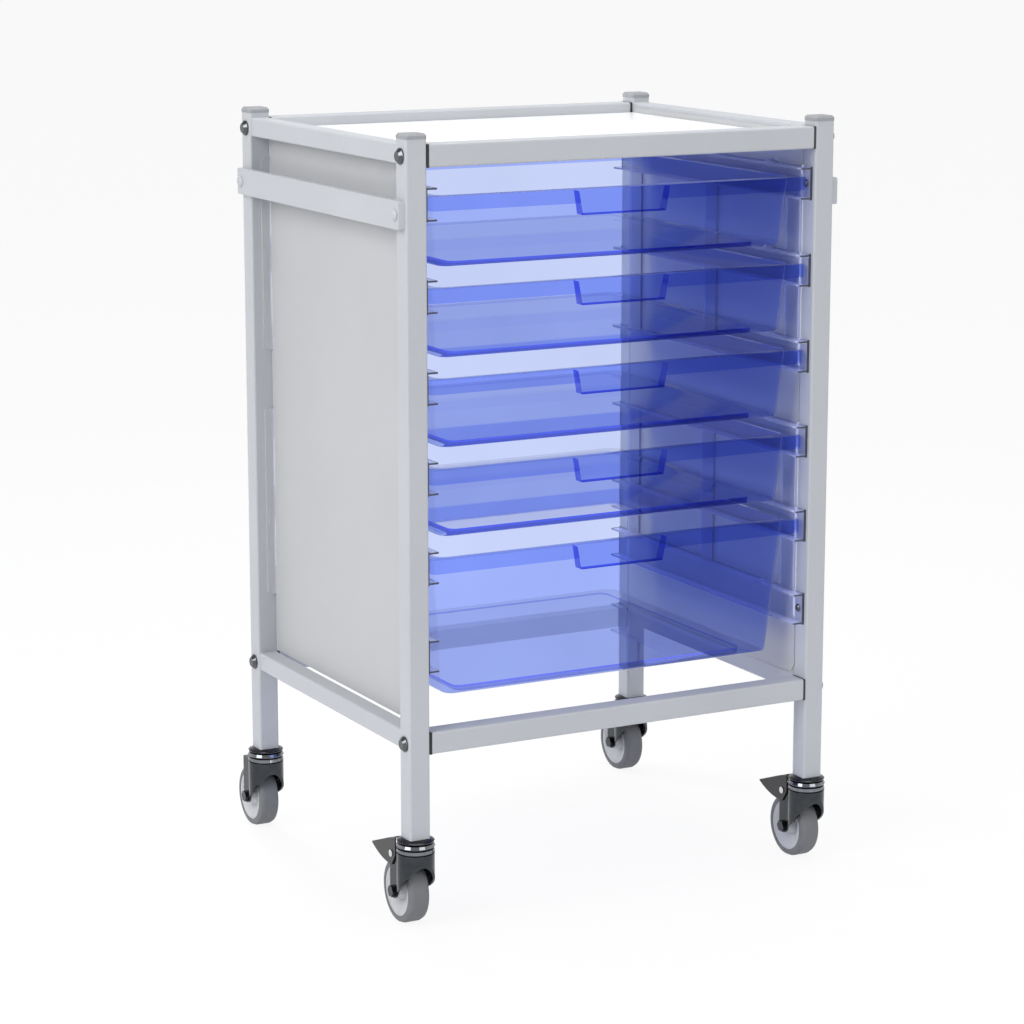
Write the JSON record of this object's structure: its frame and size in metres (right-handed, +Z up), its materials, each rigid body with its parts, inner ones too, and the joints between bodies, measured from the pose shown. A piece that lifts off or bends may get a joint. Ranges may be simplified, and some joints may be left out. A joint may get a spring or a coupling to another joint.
{
  "type": "instrument cart",
  "caption": "Tube-frame cart on swivel casters with side panels, accessory rails and clear blue trays that slide out on moulded runners",
  "frame": {"origin": "on the floor, in the middle of the part's overall box", "axes": "+Z up, the tray handles face -Y, +X to the right seen from the front"},
  "size_m": [0.5708, 0.5028, 0.8939],
  "materials": {
    "frame_paint": "silver-grey satin powder coat",
    "panel_paint": "silver-grey satin powder coat on sheet",
    "accessory_paint": "silver-grey satin powder coat",
    "work_surface": "white, faintly glossy",
    "cap_grey": "grey moulded",
    "spacer_black": "black",
    "dark_chrome": "dark bright plating",
    "screw_steel": "pale bright",
    "screw_dark": "dark",
    "clear_plastic": "clear moulded plastic",
    "tray_blue": "clear blue moulded plastic",
    "plate_dark": "black gloss",
    "fork_chrome": "dark chrome plating",
    "wheel_grey": "light grey moulded",
    "tyre_grey": "grey non-marking rubber",
    "pedal_black": "black gloss"
  },
  "bodies": {
    "frame": {"accessory_rail_left": "accessory_paint", "accessory_rail_right": "accessory_paint", "accessory_rail_screws": "screw_steel", "caster_plate_front_left": "plate_dark", "caster_plate_front_right": "plate_dark", "caster_plate_rear_left": "plate_dark", "caster_plate_rear_right": "plate_dark", "frame_bolts": "dark_chrome", "front_lower_rail": "frame_paint", "front_top_rail": "frame_paint", "ladder_screws": "screw_dark", "post_caps": "cap_grey", "post_front_left": "frame_paint", "post_front_right": "frame_paint", "post_rear_left": "frame_paint", "post_rear_right": "frame_paint", "rail_spacers": "spacer_black", "rear_lower_rail": "frame_paint", "rear_top_rail": "frame_paint", "runner_ladder_left_lower": "clear_plastic", "runner_ladder_left_upper": "clear_plastic", "runner_ladder_right_lower": "clear_plastic", "runner_ladder_right_upper": "clear_plastic", "side_lower_rail_left": "frame_paint", "side_lower_rail_right": "frame_paint", "side_panel_left": "panel_paint", "side_panel_right": "panel_paint", "side_top_rail_left": "frame_paint", "side_top_rail_right": "frame_paint", "top_panel": "work_surface"},
    "tray_1_body": {"tray_1": "tray_blue"},
    "tray_2_body": {"tray_2": "tray_blue"},
    "tray_3_body": {"tray_3": "tray_blue"},
    "tray_4_body": {"tray_4": "tray_blue"},
    "tray_5_body": {"tray_5": "tray_blue"},
    "swivel_front_left": {"caster_fork_front_left": "fork_chrome", "caster_race_front_left": "fork_chrome", "caster_axle_front_left": "dark_chrome", "caster_pedal_pin_front_left": "dark_chrome"},
    "wheel_front_left": {"caster_wheel_front_left": "wheel_grey", "caster_tyre_front_left": "tyre_grey"},
    "pedal_front_left": {"caster_brake_pedal_front_left": "pedal_black"},
    "swivel_front_right": {"caster_fork_front_right": "fork_chrome", "caster_race_front_right": "fork_chrome", "caster_axle_front_right": "dark_chrome", "caster_pedal_pin_front_right": "dark_chrome"},
    "wheel_front_right": {"caster_wheel_front_right": "wheel_grey", "caster_tyre_front_right": "tyre_grey"},
    "pedal_front_right": {"caster_brake_pedal_front_right": "pedal_black"},
    "swivel_rear_left": {"caster_fork_rear_left": "fork_chrome", "caster_race_rear_left": "fork_chrome", "caster_axle_rear_left": "dark_chrome"},
    "wheel_rear_left": {"caster_wheel_rear_left": "wheel_grey", "caster_tyre_rear_left": "tyre_grey"},
    "swivel_rear_right": {"caster_fork_rear_right": "fork_chrome", "caster_race_rear_right": "fork_chrome", "caster_axle_rear_right": "dark_chrome"},
    "wheel_rear_right": {"caster_wheel_rear_right": "wheel_grey", "caster_tyre_rear_right": "tyre_grey"}
  },
  "joints": [
    {"name": "tray_1_slide", "type": "slide", "parent": "frame", "child": "tray_1_body", "axis": [0, -1, 0], "range_m": [0, 0.3]},
    {"name": "tray_2_slide", "type": "slide", "parent": "frame", "child": "tray_2_body", "axis": [0, -1, 0], "range_m": [0, 0.3]},
    {"name": "tray_3_slide", "type": "slide", "parent": "frame", "child": "tray_3_body", "axis": [0, -1, 0], "range_m": [0, 0.3]},
    {"name": "tray_4_slide", "type": "slide", "parent": "frame", "child": "tray_4_body", "axis": [0, -1, 0], "range_m": [0, 0.3]},
    {"name": "tray_5_slide", "type": "slide", "parent": "frame", "child": "tray_5_body", "axis": [0, -1, 0], "range_m": [0, 0.3]},
    {"name": "swivel_front_left_turn", "type": "hinge", "parent": "frame", "child": "swivel_front_left", "pos_m": [-0.2618, -0.2292, 0.1055], "axis": [0, 0, 1], "continuous": true},
    {"name": "wheel_front_left_roll", "type": "hinge", "parent": "swivel_front_left", "child": "wheel_front_left", "pos_m": [-0.2618, -0.2047, 0.0375], "axis": [1, 0, 0], "continuous": true},
    {"name": "pedal_front_left_press", "type": "hinge", "parent": "swivel_front_left", "child": "pedal_front_left", "pos_m": [-0.2618, -0.2047, 0.0825], "axis": [1, 0, 0], "range_deg": [-12, 0]},
    {"name": "swivel_front_right_turn", "type": "hinge", "parent": "frame", "child": "swivel_front_right", "pos_m": [0.2618, -0.2292, 0.1055], "axis": [0, 0, 1], "continuous": true},
    {"name": "wheel_front_right_roll", "type": "hinge", "parent": "swivel_front_right", "child": "wheel_front_right", "pos_m": [0.2618, -0.2047, 0.0375], "axis": [1, 0, 0], "continuous": true},
    {"name": "pedal_front_right_press", "type": "hinge", "parent": "swivel_front_right", "child": "pedal_front_right", "pos_m": [0.2618, -0.2047, 0.0825], "axis": [1, 0, 0], "range_deg": [-12, 0]},
    {"name": "swivel_rear_left_turn", "type": "hinge", "parent": "frame", "child": "swivel_rear_left", "pos_m": [-0.2618, 0.1894, 0.1055], "axis": [0, 0, 1], "continuous": true},
    {"name": "wheel_rear_left_roll", "type": "hinge", "parent": "swivel_rear_left", "child": "wheel_rear_left", "pos_m": [-0.2618, 0.2139, 0.0375], "axis": [1, 0, 0], "continuous": true},
    {"name": "swivel_rear_right_turn", "type": "hinge", "parent": "frame", "child": "swivel_rear_right", "pos_m": [0.2618, 0.1894, 0.1055], "axis": [0, 0, 1], "continuous": true},
    {"name": "wheel_rear_right_roll", "type": "hinge", "parent": "swivel_rear_right", "child": "wheel_rear_right", "pos_m": [0.2618, 0.2139, 0.0375], "axis": [1, 0, 0], "continuous": true}
  ]
}
